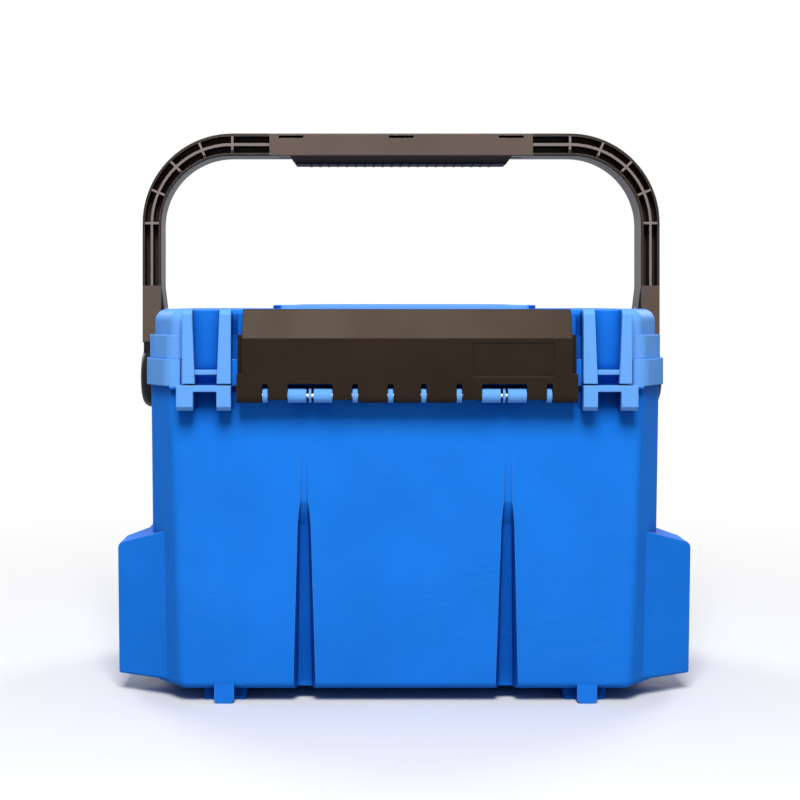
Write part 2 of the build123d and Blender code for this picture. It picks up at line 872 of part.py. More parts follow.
# Grip pad under the bar, with its snap tabs
with BuildPart() as handle_grip:
    with BuildSketch(Plane.XZ):
        grip_low = bar_low_z - grip_thickness
        Polygon(
            (-grip_half_width, bar_low_z),
            (-grip_half_width + grip_end_chamfer, grip_low),
            (grip_half_width - grip_end_chamfer, grip_low),
            (grip_half_width, bar_low_z),
            align=None,
        )
    extrude(amount=handle_depth / 2, both=True)
    fillet(handle_grip.faces().sort_by(Axis.Z)[0].edges().filter_by(Axis.X), grip_thickness / 2)
    for tab_x in (-tab_offset, 0, tab_offset):
        slab(
            (tab_x - tab_width / 2, tab_x + tab_width / 2),
            (-tab_thickness / 2, tab_thickness / 2),
            (bar_low_z, arch_top_z - tab_window_depth - tab_clearance),
        )

save(handle_grip.part, "handle_grip")

# Hub: a domed disc with a trunnion, a tongue up the arm and a spigot into it
with BuildPart() as handle_hub:
    rod(hub_face, hub_face + hub_thickness, 0, pivot_z, hub_radius)
    fillet(handle_hub.edges().sort_by(Axis.X)[-1], hub_round)
    rod(retainer_face, hub_face, 0, pivot_z, trunnion_radius)
    tongue_top = arm_solid_z
    with BuildSketch(Plane.XZ):
        Polygon(
            (hub_face, pivot_z),
            (hub_face, tongue_top - tongue_taper),
            (arm_inner, tongue_top),
            (arm_inner, pivot_z),
            align=None,
        )
    extrude(amount=tongue_width / 2, both=True)
    slab(
        (arm_inner, arm_outer - neck_setback),
        (-neck_width / 2, neck_width / 2),
        (pivot_z, arm_foot_z),
    )
    slab(
        (spigot_start, spigot_end),
        (-spigot_width / 2, spigot_width / 2),
        (pivot_z, spigot_top_z),
    )
    rod(
        retainer_face - cut_overrun,
        retainer_face + pivot_screw_length,
        0,
        pivot_z,
        pivot_screw_radius + pin_clearance,
        Mode.SUBTRACT,
    )
    for level in screw_levels:
        rod(
            hub_face - cut_overrun,
            hub_face + hub_screw_length + pin_clearance,
            0,
            level,
            hub_screw_radius + pin_clearance,
            Mode.SUBTRACT,
        )
        with BuildSketch(Plane.YZ.offset(hub_face)):
            with Locations((0, level)):
                Circle(hub_screw_head_radius + pin_clearance)
        with BuildSketch(Plane.YZ.offset(hub_face + hub_screw_head_height)):
            with Locations((0, level)):
                Circle(hub_screw_radius + pin_clearance)
        loft(mode=Mode.SUBTRACT)

save_pair(handle_hub.part, "handle_hub")

# Friction washer between the tub's side and the hub
with BuildPart() as pivot_washer:
    rod(hub_seat, hub_face, 0, pivot_z, boss_radius)
    rod(
        hub_seat - cut_overrun,
        hub_face + cut_overrun,
        0,
        pivot_z,
        trunnion_radius + pin_clearance,
        Mode.SUBTRACT,
    )

save_pair(pivot_washer.part, "pivot_washer")

# Retainer disc on the trunnion's inner end
with BuildPart() as pivot_retainer:
    rod(retainer_face - retainer_thickness, retainer_face, 0, pivot_z, retainer_radius)
    fillet(pivot_retainer.edges().sort_by(Axis.X)[0], retainer_thickness / 3)
    rod(
        retainer_face - retainer_thickness - cut_overrun,
        retainer_face + cut_overrun,
        0,
        pivot_z,
        pivot_screw_radius + pin_clearance,
        Mode.SUBTRACT,
    )

save_pair(pivot_retainer.part, "pivot_retainer")

# Pivot screw: pan head with a cross recess, shank into the trunnion
with BuildPart() as pivot_screw:
    head_low = retainer_face - retainer_thickness - pivot_head_height
    rod(head_low, head_low + pivot_head_height, 0, pivot_z, pivot_head_radius)
    fillet(pivot_screw.edges().sort_by(Axis.X)[0], pivot_head_height / 2)
    rod(
        head_low + pivot_head_height,
        retainer_face + pivot_screw_length - retainer_thickness,
        0,
        pivot_z,
        pivot_screw_radius,
    )
    for slot_y, slot_z in (
        (driver_slot_width, pivot_head_radius),
        (pivot_head_radius, driver_slot_width),
    ):
        slab(
            (head_low - cut_overrun, head_low + driver_slot_depth),
            (-slot_y / 2, slot_y / 2),
            (pivot_z - slot_z / 2, pivot_z + slot_z / 2),
            Mode.SUBTRACT,
        )

save_pair(pivot_screw.part, "pivot_screw")

# Countersunk screw that holds the arm to the hub's tongue and spigot, two on each side
with BuildPart() as hub_screw:
    with BuildSketch(Plane.YZ.offset(hub_face)):
        with Locations((0, low_screw_z)):
            Circle(hub_screw_head_radius)
    with BuildSketch(Plane.YZ.offset(hub_face + hub_screw_head_height)):
        with Locations((0, low_screw_z)):
            Circle(hub_screw_radius)
    loft()
    rod(hub_face + hub_screw_head_height, hub_face + hub_screw_length, 0, low_screw_z, hub_screw_radius)
    slab(
        (hub_face - cut_overrun, hub_face + driver_slot_depth),
        (-hub_screw_radius, hub_screw_radius),
        (low_screw_z - driver_slot_width / 2, low_screw_z + driver_slot_width / 2),
        Mode.SUBTRACT,
    )

save_pair(hub_screw.part, "hub_screw_lower")
save_pair(Pos(0, 0, hub_screw_spacing) * hub_screw.part, "hub_screw_upper")
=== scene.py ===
import logging
from dataclasses import dataclass, field
from enum import Enum
from math import radians

import bpy
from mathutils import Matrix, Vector


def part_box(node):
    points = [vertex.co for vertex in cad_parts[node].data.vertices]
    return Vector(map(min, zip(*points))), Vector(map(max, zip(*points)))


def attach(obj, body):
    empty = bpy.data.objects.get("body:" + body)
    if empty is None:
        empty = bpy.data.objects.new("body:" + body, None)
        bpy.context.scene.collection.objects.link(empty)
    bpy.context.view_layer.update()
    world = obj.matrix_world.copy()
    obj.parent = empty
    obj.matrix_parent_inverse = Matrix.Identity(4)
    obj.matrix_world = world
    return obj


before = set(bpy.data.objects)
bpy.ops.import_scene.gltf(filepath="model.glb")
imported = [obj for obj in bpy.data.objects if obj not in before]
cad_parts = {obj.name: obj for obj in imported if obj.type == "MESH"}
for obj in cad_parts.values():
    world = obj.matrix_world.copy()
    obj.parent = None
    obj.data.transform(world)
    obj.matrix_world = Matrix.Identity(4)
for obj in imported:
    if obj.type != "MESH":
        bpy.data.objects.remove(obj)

LOG = logging.getLogger("tackle_box")
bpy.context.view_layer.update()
MM = 0.001

RIGHT_ANGLE = radians(90.0)

Colour = tuple[float, float, float]
Triple = tuple[float, float, float]
Span = tuple[float, float]
Socket = bpy.types.NodeSocket

WHITE: Colour = (1.0, 1.0, 1.0)
NOISE_SPAN: Span = (0.3, 0.7)

# Places of the colour sockets on Blender's Mix node, whose names repeat
MIX_FIRST = 6
MIX_SECOND = 7
MIX_RESULT = 2


class Body(Enum):
    """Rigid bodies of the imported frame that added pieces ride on."""

    LID = "lid"
    HANDLE = "handle"


class Run(Enum):
    """Direction in which the ribs of a row lie."""

    ALONG_X = "x"
    ALONG_Y = "y"


@dataclass
class Sheet:
    """A node tree with short calls for adding and joining nodes."""

    tree: bpy.types.NodeTree

    def add(self, kind: str, **settings: object) -> bpy.types.Node:
        """Add a node.

        Args:
            kind: Blender's name of the node type.
            settings: attributes to set on the new node.

        Returns:
            The new node.
        """
        node = self.tree.nodes.new(kind)
        for key, value in settings.items():
            setattr(node, key, value)
        return node

    def feed(self, target: Socket, source: object) -> None:
        """Join a socket to an input, or set the input to a plain value.

        Args:
            target: the input socket.
            source: an output socket, a number, a tuple or a data-block.
        """
        if isinstance(source, Socket):
            self.tree.links.new(source, target)
        else:
            target.default_value = source

    def math(self, operation: str, first: object, second: object, clamp: bool = False) -> Socket:
        """Work out a value from two others.

        Args:
            operation: the Math node's operation.
            first: first value or socket.
            second: second value or socket.
            clamp: whether the result is kept between 0 and 1.

        Returns:
            The result's socket.
        """
        node = self.add("ShaderNodeMath", operation=operation, use_clamp=clamp)
        self.feed(node.inputs[0], first)
        self.feed(node.inputs[1], second)
        return node.outputs[0]

    def mix(self, share: object, first: object, second: object) -> Socket:
        """Mix two colours.

        Args:
            share: how much of the second colour.
            first: first colour or socket.
            second: second colour or socket.

        Returns:
            The mixed colour's socket.
        """
        node = self.add("ShaderNodeMix", data_type="RGBA")
        self.feed(node.inputs["Factor"], share)
        self.feed(node.inputs[MIX_FIRST], first)
        self.feed(node.inputs[MIX_SECOND], second)
        return node.outputs[MIX_RESULT]

    def spread(self, value: object, low: float, high: float, to_low: float, to_high: float) -> Socket:
        """Map a value from one span to another, held at both ends.

        Args:
            value: the value's socket.
            low: start of the span that is read.
            high: end of the span that is read.
            to_low: value given at the start.
            to_high: value given at the end.

        Returns:
            The mapped value's socket.
        """
        node = self.add("ShaderNodeMapRange", clamp=True)
        self.feed(node.inputs["Value"], value)
        for name, number in (("From Min", low), ("From Max", high), ("To Min", to_low), ("To Max", to_high)):
            node.inputs[name].default_value = number
        return node.outputs["Result"]

    def distances(self, place: Socket) -> tuple[Socket, ...]:
        """Split a place into its distance from the middle planes and its height.

        Args:
            place: the socket with the place on the object.

        Returns:
            Sockets with the distance to either side, to front or rear, and the height.
        """
        axes = self.add("ShaderNodeSeparateXYZ")
        self.feed(axes.inputs["Vector"], place)
        sides = (self.math("ABSOLUTE", axes.outputs[name], 0.0) for name in ("X", "Y"))
        return *sides, axes.outputs["Z"]


def rgba(colour: Colour) -> tuple[float, float, float, float]:
    """Give a colour full opacity."""
    return (*colour, 1.0)


@dataclass
class Effects:
    """Shader node groups that several finishes share, each built once.

    A span gives the values between which a mask runs from one end to the other.
    """

    grain_detail: float = 2.0
    grain_roughness: float = 0.65
    mottle_scale: float = 14.0
    mottle_detail: float = 5.0
    edge_samples: int = 6
    # Span of the pale edge mask: edge wear and a painted highlight on the edges.
    edge_wear_and_highlight_span: Span = (0.78, 0.97)
    # Samples and span of the painted shade in narrow recesses.
    hollow_shade_samples: int = 8
    hollow_shade_span: Span = (0.4, 1.0)
    scuff_turns: tuple[float, float] = (-0.5, 0.35)
    scuff_stretch: Triple = (0.12, 1.0, 1.6)
    scuff_detail: float = 1.0
    scuff_span: Span = (0.64, 0.72)
    patch_scale: float = 9.0
    patch_detail: float = 3.0
    patch_span: Span = (0.5, 0.66)
    grain: bpy.types.NodeTree = field(init=False)
    edges: bpy.types.NodeTree = field(init=False)
    hollow_shade: bpy.types.NodeTree = field(init=False)
    scuffs: bpy.types.NodeTree = field(init=False)

    def __post_init__(self) -> None:
        """Build every group."""
        self.grain = self._build_grain()
        self.edges = self._build_edges()
        self.hollow_shade = self._build_hollow_shade()
        self.scuffs = self._build_scuffs()

    @staticmethod
    def _group(name: str, inputs: dict[str, str], outputs: dict[str, str]) -> tuple[Sheet, dict, dict]:
        """Make an empty group with named sockets.

        Args:
            name: the group's name.
            inputs: socket names and types going in.
            outputs: socket names and types coming out.

        Returns:
            The group's sheet, its input sockets by name and its output sockets by name.
        """
        tree = bpy.data.node_groups.new(name, "ShaderNodeTree")
        for label, kind in inputs.items():
            tree.interface.new_socket(label, in_out="INPUT", socket_type=kind)
        for label, kind in outputs.items():
            tree.interface.new_socket(label, in_out="OUTPUT", socket_type=kind)
        sheet = Sheet(tree)
        source = sheet.add("NodeGroupInput")
        sink = sheet.add("NodeGroupOutput")
        return sheet, source.outputs, sink.inputs

    def _build_grain(self) -> bpy.types.NodeTree:
        """Build the fine etched grain of a mould and the slow mottle of the plastic.

        Returns:
            The group.
        """
        sheet, given, made = self._group(
            "Mould grain",
            {"Position": "NodeSocketVector", "Fineness": "NodeSocketFloat"},
            {"Height": "NodeSocketFloat", "Mottle": "NodeSocketFloat"},
        )
        fine = sheet.add("ShaderNodeTexNoise")
        sheet.feed(fine.inputs["Vector"], given["Position"])
        sheet.feed(fine.inputs["Scale"], given["Fineness"])
        fine.inputs["Detail"].default_value = self.grain_detail
        fine.inputs["Roughness"].default_value = self.grain_roughness
        slow = sheet.add("ShaderNodeTexNoise")
        sheet.feed(slow.inputs["Vector"], given["Position"])
        slow.inputs["Scale"].default_value = self.mottle_scale
        slow.inputs["Detail"].default_value = self.mottle_detail
        sheet.feed(made["Height"], fine.outputs["Fac"])
        sheet.feed(made["Mottle"], slow.outputs["Fac"])
        return sheet.tree

    def _build_edges(self) -> bpy.types.NodeTree:
        """Build the small rounding of moulded edges and the mask of edge wear and painted highlight along
        them.

        Returns:
            The group.
        """
        sheet, given, made = self._group(
            "Moulded edges, wear and highlight",
            {"Radius": "NodeSocketFloat"},
            {"Normal": "NodeSocketVector", "Edge wear and highlight": "NodeSocketFloat"},
        )
        rounding = sheet.add("ShaderNodeBevel", samples=self.edge_samples)
        sheet.feed(rounding.inputs["Radius"], given["Radius"])
        surface = sheet.add("ShaderNodeNewGeometry")
        turn = sheet.add("ShaderNodeVectorMath", operation="DOT_PRODUCT")
        sheet.feed(turn.inputs[0], rounding.outputs["Normal"])
        sheet.feed(turn.inputs[1], surface.outputs["Normal"])
        sheet.feed(made["Normal"], rounding.outputs["Normal"])
        sheet.feed(made["Edge wear and highlight"], sheet.spread(turn.outputs["Value"], *self.edge_wear_and_highlight_span, 1.0, 0.0))
        return sheet.tree

    def _build_hollow_shade(self) -> bpy.types.NodeTree:
        """Build the mask of painted shade in narrow recesses, from the part's own occlusion.

        Returns:
            The group.
        """
        sheet, given, made = self._group(
            "Painted hollow shade",
            {"Reach": "NodeSocketFloat"},
            {"Depth": "NodeSocketFloat"},
        )
        room = sheet.add("ShaderNodeAmbientOcclusion", samples=self.hollow_shade_samples, only_local=True)
        sheet.feed(room.inputs["Distance"], given["Reach"])
        sheet.feed(made["Depth"], sheet.spread(room.outputs["AO"], *self.hollow_shade_span, 1.0, 0.0))
        return sheet.tree

    def _build_scuffs(self) -> bpy.types.NodeTree:
        """Build fine handling scratches that gather in patches.

        Returns:
            The group.
        """
        sheet, given, made = self._group(
            "Handling scuffs",
            {"Position": "NodeSocketVector", "Length": "NodeSocketFloat"},
            {"Mask": "NodeSocketFloat"},
        )
        lines = []
        for turn in self.scuff_turns:
            lay = sheet.add("ShaderNodeMapping")
            sheet.feed(lay.inputs["Vector"], given["Position"])
            lay.inputs["Rotation"].default_value = (turn, turn, turn)
            lay.inputs["Scale"].default_value = self.scuff_stretch
            streak = sheet.add("ShaderNodeTexNoise")
            sheet.feed(streak.inputs["Vector"], lay.outputs["Vector"])
            sheet.feed(streak.inputs["Scale"], given["Length"])
            streak.inputs["Detail"].default_value = self.scuff_detail
            lines.append(sheet.spread(streak.outputs["Fac"], *self.scuff_span, 0.0, 1.0))
        patch = sheet.add("ShaderNodeTexNoise")
        sheet.feed(patch.inputs["Vector"], given["Position"])
        patch.inputs["Scale"].default_value = self.patch_scale
        patch.inputs["Detail"].default_value = self.patch_detail
        where = sheet.spread(patch.outputs["Fac"], *self.patch_span, 0.0, 1.0)
        both = sheet.math("MAXIMUM", lines[0], lines[1])
        sheet.feed(made["Mask"], sheet.math("MULTIPLY", both, where))
        return sheet.tree


@dataclass(frozen=True)
class MouldedFinish:
    """A moulded plastic or rubber.

    The colours are linear. Sizes are in metres, and shares run from 0 to 1.
    """

    name: str
    slot: str
    colour: Colour
    # Pale colour: painted highlight on edges and raised parts, and scuff wear.
    highlight_and_wear_colour: Colour
    # Dark colour: painted shade in narrow recesses.
    hollow_shade_colour: Colour
    roughness: float
    gloss: float = 0.12
    sheen_tint: Colour = WHITE
    fineness: float = 900.0
    grain_depth: float = 0.00012
    grain_strength: float = 0.25
    mottle_share: float = 0.1
    edge_radius: float = 0.0009
    # Share of the pale edge mask: edge wear and a painted highlight on the edges.
    edge_wear_and_highlight_share: float = 0.35
    # Reach and share of the painted shade in narrow recesses.
    hollow_shade_reach: float = 0.03
    hollow_shade_share: float = 0.8
    scuff_share: float = 0.12
    rough_drift: float = 0.05
    exposed_span: Span = (0.1, 0.5)

    def _shade(self, sheet: Sheet, place: Socket, base: Socket) -> Socket:
        """Change the colour by place, which a plain moulding doesn't do.

        Args:
            sheet: the material's sheet.
            place: the socket with the place on the object.
            base: the socket with the colour that is changed.

        Returns:
            The shaded colour's socket.
        """
        return base

    def build(self, effects: Effects) -> bpy.types.Material:
        """Make the material.

        Args:
            effects: the shared node groups.

        Returns:
            The material.
        """
        material = bpy.data.materials.new(self.name)
        material.use_nodes = True
        sheet = Sheet(material.node_tree)
        shader = material.node_tree.nodes["Principled BSDF"]
        place = sheet.add("ShaderNodeTexCoord").outputs["Object"]

        grain = sheet.add("ShaderNodeGroup", node_tree=effects.grain)
        sheet.feed(grain.inputs["Position"], place)
        grain.inputs["Fineness"].default_value = self.fineness
        edges = sheet.add("ShaderNodeGroup", node_tree=effects.edges)
        edges.inputs["Radius"].default_value = self.edge_radius
        hollow_shade = sheet.add("ShaderNodeGroup", node_tree=effects.hollow_shade)
        hollow_shade.inputs["Reach"].default_value = self.hollow_shade_reach
        scuffs = sheet.add("ShaderNodeGroup", node_tree=effects.scuffs)
        sheet.feed(scuffs.inputs["Position"], place)
        scuffs.inputs["Length"].default_value = self.fineness / 2

        dark = tuple(part * (1.0 - self.mottle_share) for part in self.colour)
        pale = tuple(part * (1.0 + self.mottle_share) for part in self.colour)
        tone = sheet.spread(grain.outputs["Mottle"], *NOISE_SPAN, 0.0, 1.0)
        even = sheet.mix(tone, rgba(dark), rgba(pale))
        # Painted shade: narrow recesses darkened towards the dark colour by the part's own occlusion.
        depth = sheet.math("MULTIPLY", hollow_shade.outputs["Depth"], self.hollow_shade_share)
        body = self._shade(sheet, place, sheet.mix(depth, even, rgba(self.hollow_shade_colour)))
        # Pale edges are edge wear and a painted highlight, kept out of the painted shade in recesses; scuffs
        # are real wear.
        exposed = sheet.spread(hollow_shade.outputs["Depth"], *self.exposed_span, self.edge_wear_and_highlight_share, 0.0)
        edge_wear_and_highlight = sheet.math("MULTIPLY", edges.outputs["Edge wear and highlight"], exposed)
        mark = sheet.math("MULTIPLY", scuffs.outputs["Mask"], self.scuff_share)
        highlight_and_wear_mask = sheet.math("MAXIMUM", edge_wear_and_highlight, mark)
        sheet.feed(shader.inputs["Base Color"], sheet.mix(highlight_and_wear_mask, body, rgba(self.highlight_and_wear_colour)))

        shader.inputs["Specular IOR Level"].default_value = self.gloss
        shader.inputs["Specular Tint"].default_value = rgba(self.sheen_tint)
        smooth, rough = self.roughness - self.rough_drift, self.roughness + self.rough_drift
        drift = sheet.spread(grain.outputs["Mottle"], *NOISE_SPAN, smooth, rough)
        sheet.feed(shader.inputs["Roughness"], sheet.math("ADD", drift, mark, clamp=True))

        bump = sheet.add("ShaderNodeBump")
        bump.inputs["Strength"].default_value = self.grain_strength
        bump.inputs["Distance"].default_value = self.grain_depth
        sheet.feed(bump.inputs["Height"], grain.outputs["Height"])
        sheet.feed(bump.inputs["Normal"], edges.outputs["Normal"])
        sheet.feed(shader.inputs["Normal"], bump.outputs["Normal"])
        return material


@dataclass(frozen=True)
class ShellFinish(MouldedFinish):
    """The shell's plastic, with a painted highlight where it stands out.

    Each pair gives where a mark starts and where it is full, along one axis.
    """

    # Share of the painted highlight on the raised parts.
    painted_highlight_share: float = 0.7
    proud_depth: Span = (0.157, 0.16)
    proud_level: Span = (0.225, 0.24)
    corner_width: Span = (0.172, 0.182)
    corner_depth: Span = (0.07, 0.13)
    corner_level: Span = (0.2574, 0.2586)
    panel_depth: Span = (0.1085, 0.1095)
    panel_level: Span = (0.319, 0.3205)

    def _shade(self, sheet: Sheet, place: Socket, base: Socket) -> Socket:
        """Paint a highlight on the ears, brackets and knuckles, the rim and the lid at their corners, and the
        panel's ends.

        Args:
            sheet: the material's sheet.
            place: the socket with the place on the object.
            base: the socket with the colour that is changed.

        Returns:
            The shaded colour's socket.
        """
        width, depth, level = sheet.distances(place)
        proud = sheet.math(
            "MULTIPLY",
            sheet.spread(depth, *self.proud_depth, 0.0, 1.0),
            sheet.spread(level, *self.proud_level, 0.0, 1.0),
        )
        outer = sheet.math(
            "MULTIPLY",
            sheet.spread(width, *self.corner_width, 0.0, 1.0),
            sheet.spread(depth, *self.corner_depth, 0.0, 1.0),
        )
        corner = sheet.math("MULTIPLY", outer, sheet.spread(level, *self.corner_level, 0.0, 1.0))
        panel = sheet.math(
            "MULTIPLY",
            sheet.spread(depth, *self.panel_depth, 0.0, 1.0),
            sheet.spread(level, *self.panel_level, 0.0, 1.0),
        )
        highlight_place = sheet.math("MAXIMUM", sheet.math("MAXIMUM", proud, corner), panel)
        # Painted highlight on the raised parts, rim corners and panel ends.
        mark = sheet.math("MULTIPLY", highlight_place, self.painted_highlight_share)
        return sheet.mix(mark, base, rgba(self.highlight_and_wear_colour))


@dataclass(frozen=True)
class HandleFinish(MouldedFinish):
    """The handle's plastic: a painted highlight on the thin ribs and painted shade on the flanges along the
    pocketed runs.
    """

    # Colour of the painted shade on the flanges.
    flange_shade_colour: Colour = (0.04, 0.028, 0.022)
    # Share of the painted highlight on the ribs.
    rib_highlight_share: float = 0.5
    flange_share: float = 0.16
    corner_radius: float = 79.5 * MM
    thickness: float = 16.7 * MM
    solid_level: float = 340 * MM
    bar_half_width: float = 116.5 * MM
    face_depth: Span = (15.4 * MM, 16.4 * MM)
    blur: float = 0.6 * MM

    def _shade(self, sheet: Sheet, place: Socket, base: Socket) -> Socket:
        """Paint shade on the flanges and a highlight on the ribs, by how far in from the arch's outline they
        lie.

        Args:
            sheet: the material's sheet.
            place: the socket with the place on the object.
            base: the socket with the colour that is changed.

        Returns:
            The shaded colour's socket.
        """
        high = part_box("handle_arch")[1]
        width, depth, level = sheet.distances(place)
        across = sheet.math("MAXIMUM", sheet.math("SUBTRACT", width, high.x - self.corner_radius), 0.0)
        up = sheet.math("MAXIMUM", sheet.math("SUBTRACT", level, high.z - self.corner_radius), 0.0)
        squares = sheet.math("ADD", sheet.math("POWER", across, 2.0), sheet.math("POWER", up, 2.0))
        reach = sheet.math("POWER", squares, 0.5)
        from_middle = sheet.math("SUBTRACT", reach, self.corner_radius - self.thickness / 2)
        band = self.thickness * (0.5 - self.flange_share)
        inside = sheet.spread(sheet.math("ABSOLUTE", from_middle, 0.0), band, band + self.blur, 1.0, 0.0)
        pocketed = sheet.math(
            "MULTIPLY",
            sheet.spread(width, self.bar_half_width, self.bar_half_width + self.blur, 0.0, 1.0),
            sheet.spread(level, self.solid_level, self.solid_level + self.blur, 0.0, 1.0),
        )
        face = sheet.math("MULTIPLY", pocketed, sheet.spread(depth, *self.face_depth, 0.0, 1.0))
        # Painted shade on the flanges, then a painted highlight on the ribs.
        flange_shaded = sheet.mix(face, base, rgba(self.flange_shade_colour))
        ribs = sheet.math("MULTIPLY", face, inside)
        plain = sheet.mix(ribs, flange_shaded, base)
        return sheet.mix(sheet.math("MULTIPLY", ribs, self.rib_highlight_share), plain, rgba(self.highlight_and_wear_colour))


@dataclass(frozen=True)
class SteelFinish:
    """Turned or rolled steel with fine lines round its length."""

    name: str
    slot: str
    colour: Colour
    stained: Colour
    roughness: float
    line_scale: Triple = (4000.0, 300.0, 300.0)
    line_strength: float = 0.2
    line_depth: float = 0.00005
    rough_drift: float = 0.08
    stain_fineness: float = 600.0
    stain_span: Span = (0.45, 0.75)
    stain_share: float = 0.6

    def build(self, effects: Effects) -> bpy.types.Material:
        """Make the material.

        Args:
            effects: the shared node groups.

        Returns:
            The material.
        """
        material = bpy.data.materials.new(self.name)
        material.use_nodes = True
        sheet = Sheet(material.node_tree)
        shader = material.node_tree.nodes["Principled BSDF"]
        place = sheet.add("ShaderNodeTexCoord").outputs["Object"]
        lay = sheet.add("ShaderNodeMapping")
        sheet.feed(lay.inputs["Vector"], place)
        lay.inputs["Scale"].default_value = self.line_scale
        lines = sheet.add("ShaderNodeTexNoise")
        sheet.feed(lines.inputs["Vector"], lay.outputs["Vector"])
        lines.inputs["Scale"].default_value = 1.0
        grain = sheet.add("ShaderNodeGroup", node_tree=effects.grain)
        sheet.feed(grain.inputs["Position"], place)
        grain.inputs["Fineness"].default_value = self.stain_fineness
        stain = sheet.spread(grain.outputs["Height"], *self.stain_span, 0.0, self.stain_share)
        sheet.feed(shader.inputs["Base Color"], sheet.mix(stain, rgba(self.colour), rgba(self.stained)))
        shader.inputs["Metallic"].default_value = 1.0
        smooth, rough = self.roughness - self.rough_drift, self.roughness + self.rough_drift
        sheet.feed(shader.inputs["Roughness"], sheet.spread(lines.outputs["Fac"], *NOISE_SPAN, smooth, rough))
        bump = sheet.add("ShaderNodeBump")
        bump.inputs["Strength"].default_value = self.line_strength
        bump.inputs["Distance"].default_value = self.line_depth
        sheet.feed(bump.inputs["Height"], lines.outputs["Fac"])
        sheet.feed(shader.inputs["Normal"], bump.outputs["Normal"])
        return material


# Each finish: a pale colour for painted highlight and scuff wear, and a dark colour for painted shade in
# recesses.
BLUE_SHELL = ShellFinish(
    name="blue_shell",
    slot="shell_plastic",
    colour=(0.014, 0.215, 0.86),
    highlight_and_wear_colour=(0.2, 0.48, 0.95),
    hollow_shade_colour=(0.0, 0.04, 0.3),
    roughness=0.42,
    gloss=0.012,
    mottle_share=0.06,
    edge_radius=0.0015,
    edge_wear_and_highlight_share=0.6,
    hollow_shade_reach=0.04,
    hollow_shade_share=0.9,
    scuff_share=0.06,
)
BROWN_LATCH = MouldedFinish(
    name="brown_latch",
    slot="latch_plastic",
    colour=(0.02, 0.013, 0.0095),
    highlight_and_wear_colour=(0.13, 0.1, 0.085),
    hollow_shade_colour=(0.008, 0.005, 0.004),
    roughness=0.36,
    sheen_tint=(1.0, 0.77, 0.62),
    fineness=1100.0,
    mottle_share=0.2,
)
BROWN_HANDLE = HandleFinish(
    name="brown_handle",
    slot="handle_plastic",
    colour=(0.125, 0.09, 0.07),
    highlight_and_wear_colour=(0.36, 0.3, 0.27),
    hollow_shade_colour=(0.01, 0.007, 0.006),
    roughness=0.45,
    fineness=1000.0,
    edge_radius=0.0007,
    edge_wear_and_highlight_share=0.6,
)
BLACK_GRIP = MouldedFinish(
    name="black_grip",
    slot="grip_rubber",
    colour=(0.0075, 0.0052, 0.0052),
    highlight_and_wear_colour=(0.05, 0.045, 0.045),
    hollow_shade_colour=(0.004, 0.003, 0.003),
    roughness=0.7,
    fineness=1500.0,
    grain_strength=0.5,
    scuff_share=0.05,
)
BLACK_HUB = MouldedFinish(
    name="black_hub",
    slot="hub_plastic",
    colour=(0.009, 0.009, 0.01),
    highlight_and_wear_colour=(0.06, 0.06, 0.065),
    hollow_shade_colour=(0.004, 0.004, 0.004),
    roughness=0.42,
)
GROUND_PIN = SteelFinish("ground_pin", "pin_steel", (0.56, 0.56, 0.58), (0.3, 0.28, 0.26), 0.3)
PLATED_SCREW = SteelFinish("plated_screw", "screw_steel", (0.52, 0.52, 0.54), (0.34, 0.32, 0.27), 0.34)


